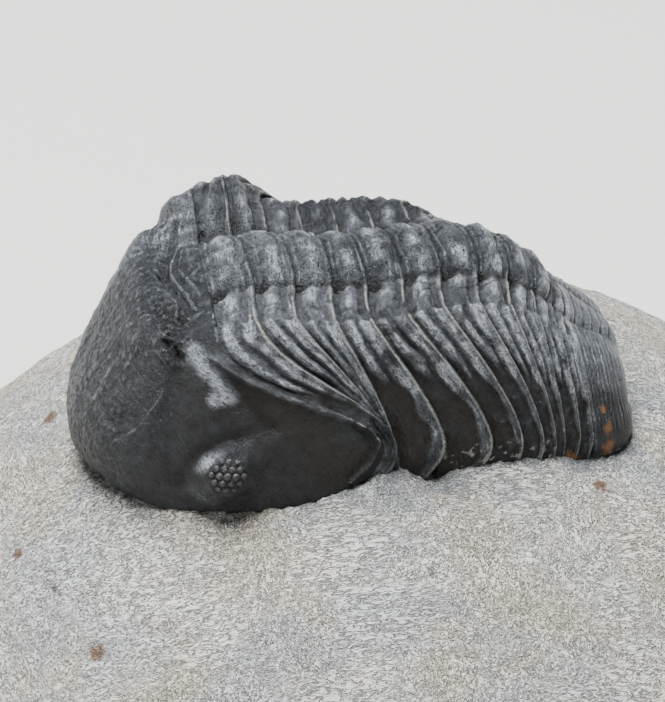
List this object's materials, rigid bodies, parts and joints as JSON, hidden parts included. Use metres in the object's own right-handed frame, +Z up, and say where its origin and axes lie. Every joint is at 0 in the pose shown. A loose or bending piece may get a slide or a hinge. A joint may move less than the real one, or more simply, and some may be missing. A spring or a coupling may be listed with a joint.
{
  "type": "trilobite fossil on matrix",
  "caption": "Fossil trilobite with an inflated head, lensed eyes and an arched, ribbed body, standing proud of a domed block of pale limestone that rests on a flat base.",
  "frame": {"origin": "centre of the bounding box, on the flat base of the block", "axes": "+Z up; +X from the head towards the tail, along the block; the animal's left side, the one in the picture, faces -Y"},
  "size_m": [0.0884, 0.077, 0.0432],
  "materials": {
    "black_calcite": "dark grey-black fossil shell, semi-gloss, with pale worn ridges",
    "limestone": "pale grey, matt, finely scribed limestone"
  },
  "bodies": {
    "root": {"trilobite": "black_calcite", "matrix": "limestone"}
  },
  "joints": []
}
